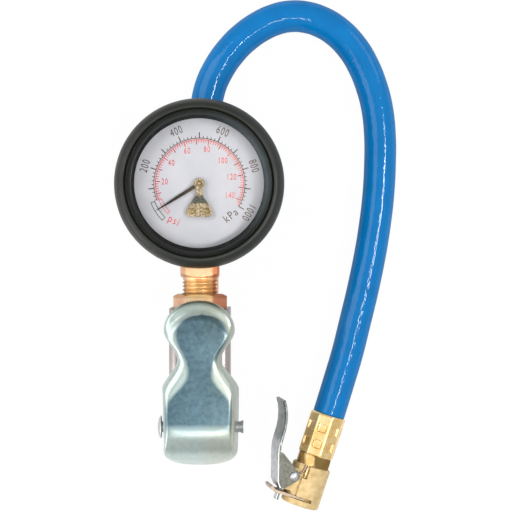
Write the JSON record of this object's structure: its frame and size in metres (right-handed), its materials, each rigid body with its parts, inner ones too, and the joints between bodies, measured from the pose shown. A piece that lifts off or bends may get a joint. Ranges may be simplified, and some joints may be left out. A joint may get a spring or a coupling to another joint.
{
  "type": "tyre inflator with gauge",
  "caption": "Hand-held tyre inflator with a dial gauge, trigger lever, short hose and clip-on valve chuck.",
  "frame": {"origin": "centre of the valve body's flat back face, on which the part lies", "axes": "+Y along the valve body towards the gauge, +Z out of the dial"},
  "size_m": [0.1037, 0.1913, 0.046],
  "materials": {
    "plated_casting": "satin",
    "zinc_steel": "satin",
    "bright_steel": "satin",
    "pink_brass": "satin",
    "brass": "satin",
    "movement_brass": "satin",
    "boot_rubber": "matte",
    "seal_rubber": "matte",
    "hose_rubber": "gloss",
    "black_metal": "satin",
    "dial_enamel": "satin",
    "pointer_black": "satin",
    "lens": "gloss"
  },
  "bodies": {
    "handpiece": {"valve_body": "plated_casting", "inlet_screen": "brass", "valve_seat": "brass", "valve_spring": "bright_steel", "bottom_plug": "brass", "gland_nut": "brass", "plunger_seal": "seal_rubber", "gauge_bush": "pink_brass", "gauge_socket": "pink_brass", "gauge_case": "black_metal", "gauge_boot": "boot_rubber", "bezel_ring": "black_metal", "gauge_lens": "lens", "dial_plate": "dial_enamel", "movement_plate": "movement_brass", "movement_bridge": "movement_brass", "bridge_screws": "movement_brass", "bourdon_tube": "brass", "vent_plug": "seal_rubber", "hose_tail_rear": "brass", "hose_ferrule_rear": "brass", "hose": "hose_rubber", "hose_ferrule_front": "brass", "hose_tail_front": "brass", "chuck_body": "brass", "chuck_seal": "seal_rubber", "valve_depressor": "brass", "chuck_rivet": "bright_steel", "chuck_spring": "bright_steel"},
    "lever": {"lever": "zinc_steel", "lever_pin": "bright_steel"},
    "plunger": {"plunger": "bright_steel", "poppet_seal": "seal_rubber"},
    "pointer": {"pointer": "pointer_black", "pointer_arbor": "movement_brass"},
    "sector": {"sector_gear": "movement_brass"},
    "link": {"tip_link": "movement_brass"},
    "chuck_lever": {"chuck_lever": "bright_steel"},
    "jaw": {"chuck_jaw": "bright_steel"}
  },
  "joints": [
    {"name": "lever_pivot", "type": "hinge", "parent": "handpiece", "child": "lever", "pos_m": [0, -0.0155, 0.027], "axis": [-1, 0, 0], "range_deg": [0, 7], "stiffness_Nm_per_rad": 2, "springref_deg": -8.59},
    {"name": "plunger_slide", "type": "slide", "parent": "handpiece", "child": "plunger", "axis": [0, 0, -1], "range_m": [0, 0.0029], "deforming": ["valve_spring"]},
    {"name": "sector_turn", "type": "hinge", "parent": "handpiece", "child": "sector", "pos_m": [0, 0.0634, 0.0297], "axis": [0, 0, 1], "range_deg": [0, 34.2], "stiffness_Nm_per_rad": 0.002, "springref_deg": -5.73},
    {"name": "pointer_turn", "type": "hinge", "parent": "handpiece", "child": "pointer", "pos_m": [0, 0.073, 0.0345], "axis": [0, 0, -1], "range_deg": [0, 240]},
    {"name": "link_turn", "type": "hinge", "parent": "sector", "child": "link", "pos_m": [-0.00177, 0.05767, 0.0288], "axis": [0, 0, -1], "range_deg": [0, 34.3]},
    {"name": "chuck_lever_pivot", "type": "hinge", "parent": "handpiece", "child": "chuck_lever", "pos_m": [0.03333, -0.03449, 0.00909], "axis": [-0.2298, 0.0756, -0.9703], "range_deg": [0, 18], "stiffness_Nm_per_rad": 0.1, "springref_deg": -22.92},
    {"name": "jaw_slide", "type": "slide", "parent": "handpiece", "child": "jaw", "axis": [-0.9218, 0.3031, 0.2419], "range_m": [0, 0.0026]}
  ],
  "couplings": [
    {"joint": "plunger_slide", "follows": "lever_pivot", "m_per_rad": 0.02353},
    {"joint": "pointer_turn", "follows": "sector_turn", "ratio": 7},
    {"joint": "link_turn", "follows": "sector_turn", "ratio": 1},
    {"joint": "jaw_slide", "follows": "chuck_lever_pivot", "m_per_rad": 0.00818}
  ]
}
